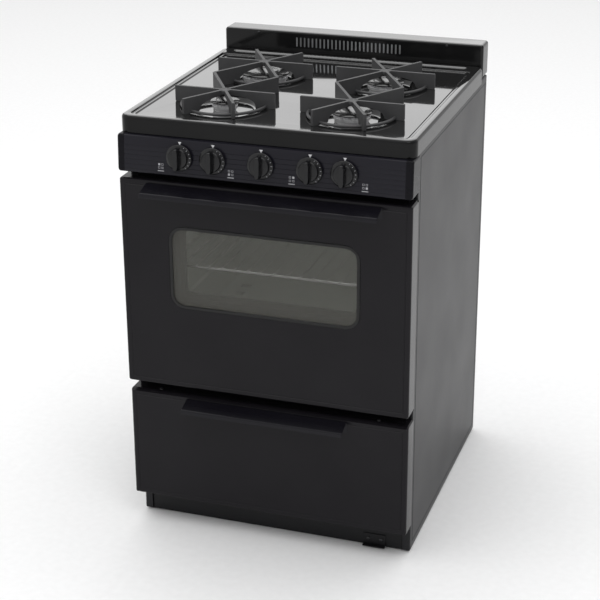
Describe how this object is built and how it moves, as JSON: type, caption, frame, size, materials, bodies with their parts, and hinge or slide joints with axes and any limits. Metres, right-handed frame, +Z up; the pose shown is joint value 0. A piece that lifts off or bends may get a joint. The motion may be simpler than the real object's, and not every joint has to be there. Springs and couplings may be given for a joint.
{
  "type": "freestanding gas range",
  "caption": "Black freestanding gas range with a low vented backguard, sealed burners under double grates, a bottom-hinged windowed oven door and a broiler drawer.",
  "frame": {"origin": "on the floor, in the middle of the whole range's box, levelling feet screwed in", "axes": "+Z up, the front faces -Y, +X to the viewer's right when looking at the front"},
  "size_m": [0.61, 0.691, 0.962],
  "materials": {
    "gloss_black": "high gloss enamel",
    "black_sheet": "satin paint",
    "cooktop_enamel": "gloss porcelain enamel",
    "panel_paint": "gloss paint",
    "cap_plastic": "moulded",
    "dark_window": "tinted glass",
    "clear_glass": "clear glass",
    "bezel": "ceramic print",
    "cast_iron": "matte enamel",
    "cap_enamel": "gloss enamel",
    "aluminium": "cast",
    "galvanised": "galvanised",
    "bright_steel": "nickel plated",
    "brass": "turned",
    "oven_enamel": "speckled porcelain enamel",
    "mineral_wool": "fibrous",
    "ceramic_white": "glazed",
    "module_plastic": "moulded",
    "knob_plastic": "moulded",
    "handle_paint": "gloss paint",
    "seal_fabric": "braided glass fibre",
    "black_iron": "mill scale"
  },
  "bodies": {
    "cabinet": {"side_panel_left": "black_sheet", "side_panel_right": "black_sheet", "back_panel": "galvanised", "base_frame": "black_sheet", "kick_panel": "black_sheet", "kick_bracket": "black_sheet", "leveling_feet": "galvanised", "front_frame": "black_sheet", "cooktop": "cooktop_enamel", "backguard": "cooktop_enamel", "control_panel": "panel_paint", "panel_end_caps": "cap_plastic", "gas_manifold": "black_iron", "burner_valves": "brass", "oven_thermostat": "brass", "pressure_regulator": "aluminium", "gas_inlet_nipple": "galvanised", "burner_tubes": "aluminium", "burner_heads": "aluminium", "igniter_electrodes": "ceramic_white", "spark_module": "module_plastic", "oven_liner": "oven_enamel", "oven_insulation": "mineral_wool", "oven_floor": "oven_enamel", "oven_burner": "galvanised", "flue_duct": "galvanised", "hinge_brackets": "galvanised", "drawer_rails": "galvanised", "cabinet_screws": "bright_steel"},
    "door": {"door_panel": "gloss_black", "door_inner_panel": "oven_enamel", "door_glass_outer": "dark_window", "door_glass_inner": "clear_glass", "window_bezel": "bezel", "door_handle": "handle_paint", "door_hinge_arms": "galvanised", "door_screws": "bright_steel", "door_gasket": "seal_fabric"},
    "drawer": {"drawer_front": "gloss_black", "drawer_tray": "galvanised", "drawer_handle": "handle_paint", "drawer_screws": "bright_steel", "broiler_pan": "oven_enamel"},
    "rack": {"oven_rack": "bright_steel"},
    "grate_l": {"grate_left": "cast_iron"},
    "grate_r": {"grate_right": "cast_iron"},
    "cap_front_left": {"burner_cap_front_left": "cap_enamel"},
    "cap_front_right": {"burner_cap_front_right": "cap_enamel"},
    "cap_rear_left": {"burner_cap_rear_left": "cap_enamel"},
    "cap_rear_right": {"burner_cap_rear_right": "cap_enamel"},
    "stem_rear_left_body": {"stem_rear_left": "bright_steel"},
    "knob_rear_left_body": {"knob_rear_left": "knob_plastic"},
    "stem_front_left_body": {"stem_front_left": "bright_steel"},
    "knob_front_left_body": {"knob_front_left": "knob_plastic"},
    "stem_oven_body": {"stem_oven": "bright_steel"},
    "knob_oven_body": {"knob_oven": "knob_plastic"},
    "stem_rear_right_body": {"stem_rear_right": "bright_steel"},
    "knob_rear_right_body": {"knob_rear_right": "knob_plastic"},
    "stem_front_right_body": {"stem_front_right": "bright_steel"},
    "knob_front_right_body": {"knob_front_right": "knob_plastic"}
  },
  "joints": [
    {"name": "door_hinge", "type": "hinge", "parent": "cabinet", "child": "door", "pos_m": [0, -0.2885, 0.3455], "axis": [1, 0, 0], "range_deg": [0, 90]},
    {"name": "rack_slide", "type": "slide", "parent": "cabinet", "child": "rack", "axis": [0, -1, 0], "range_m": [0, 0.3]},
    {"name": "drawer_slide", "type": "slide", "parent": "cabinet", "child": "drawer", "axis": [0, -1, 0], "range_m": [0, 0.35]},
    {"name": "grate_left_lift", "type": "slide", "parent": "cabinet", "child": "grate_l", "axis": [0, 0, 1], "range_m": [0, 0.08]},
    {"name": "grate_right_lift", "type": "slide", "parent": "cabinet", "child": "grate_r", "axis": [0, 0, 1], "range_m": [0, 0.08]},
    {"name": "cap_front_left_lift", "type": "slide", "parent": "cabinet", "child": "cap_front_left", "axis": [0, 0, 1], "range_m": [0, 0.004]},
    {"name": "cap_front_right_lift", "type": "slide", "parent": "cabinet", "child": "cap_front_right", "axis": [0, 0, 1], "range_m": [0, 0.004]},
    {"name": "cap_rear_left_lift", "type": "slide", "parent": "cabinet", "child": "cap_rear_left", "axis": [0, 0, 1], "range_m": [0, 0.004]},
    {"name": "cap_rear_right_lift", "type": "slide", "parent": "cabinet", "child": "cap_rear_right", "axis": [0, 0, 1], "range_m": [0, 0.004]},
    {"name": "knob_rear_left_push", "type": "slide", "parent": "cabinet", "child": "stem_rear_left_body", "axis": [0, 0.9987, -0.0519], "range_m": [0, 0.003], "stiffness_N_per_m": 800},
    {"name": "knob_rear_left_turn", "type": "hinge", "parent": "stem_rear_left_body", "child": "knob_rear_left_body", "pos_m": [-0.17, -0.3064, 0.8425], "axis": [0, -0.9987, 0.0519], "range_deg": [0, 200]},
    {"name": "knob_front_left_push", "type": "slide", "parent": "cabinet", "child": "stem_front_left_body", "axis": [0, 0.9987, -0.0519], "range_m": [0, 0.003], "stiffness_N_per_m": 800},
    {"name": "knob_front_left_turn", "type": "hinge", "parent": "stem_front_left_body", "child": "knob_front_left_body", "pos_m": [-0.1, -0.3064, 0.8425], "axis": [0, -0.9987, 0.0519], "range_deg": [0, 200]},
    {"name": "knob_oven_push", "type": "slide", "parent": "cabinet", "child": "stem_oven_body", "axis": [0, 0.9987, -0.0519], "range_m": [0, 0.003], "stiffness_N_per_m": 800},
    {"name": "knob_oven_turn", "type": "hinge", "parent": "stem_oven_body", "child": "knob_oven_body", "pos_m": [0, -0.3064, 0.8425], "axis": [0, -0.9987, 0.0519], "range_deg": [0, 270]},
    {"name": "knob_rear_right_push", "type": "slide", "parent": "cabinet", "child": "stem_rear_right_body", "axis": [0, 0.9987, -0.0519], "range_m": [0, 0.003], "stiffness_N_per_m": 800},
    {"name": "knob_rear_right_turn", "type": "hinge", "parent": "stem_rear_right_body", "child": "knob_rear_right_body", "pos_m": [0.1, -0.3064, 0.8425], "axis": [0, -0.9987, 0.0519], "range_deg": [0, 200]},
    {"name": "knob_front_right_push", "type": "slide", "parent": "cabinet", "child": "stem_front_right_body", "axis": [0, 0.9987, -0.0519], "range_m": [0, 0.003], "stiffness_N_per_m": 800},
    {"name": "knob_front_right_turn", "type": "hinge", "parent": "stem_front_right_body", "child": "knob_front_right_body", "pos_m": [0.17, -0.3064, 0.8425], "axis": [0, -0.9987, 0.0519], "range_deg": [0, 200]}
  ],
  "couplings": [
    {"joint": "rack_slide", "follows": "door_hinge", "m_per_rad": 0.19}
  ]
}
